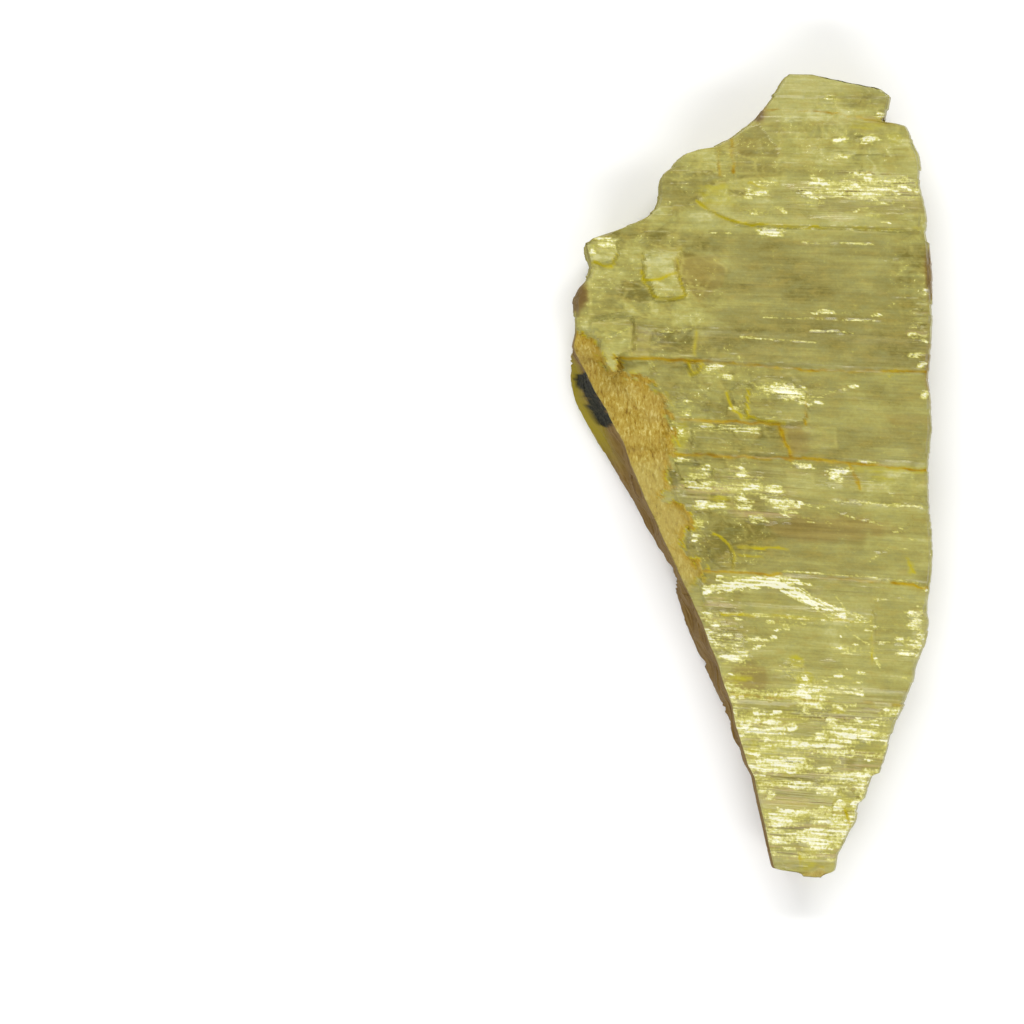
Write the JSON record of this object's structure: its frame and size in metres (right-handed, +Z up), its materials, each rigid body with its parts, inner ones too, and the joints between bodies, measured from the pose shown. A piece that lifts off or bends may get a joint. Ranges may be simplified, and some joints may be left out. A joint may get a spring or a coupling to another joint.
{
  "type": "orpiment specimen",
  "caption": "Broken cleavage slab of yellow orpiment, wide at one end and tapering to a tip, for display on a flat surface.",
  "frame": {"origin": "middle of the slab's box, on the flat face that it rests on", "axes": "+Y along the slab from its narrow tip to its square end, +X across it, +Z up from the resting face"},
  "size_m": [0.0366, 0.081, 0.0091],
  "materials": {
    "orpiment": "pearly to resinous cleavage face with fine striations, tan fibrous broken edges"
  },
  "bodies": {
    "root": {"orpiment_slab": "orpiment"}
  },
  "joints": []
}
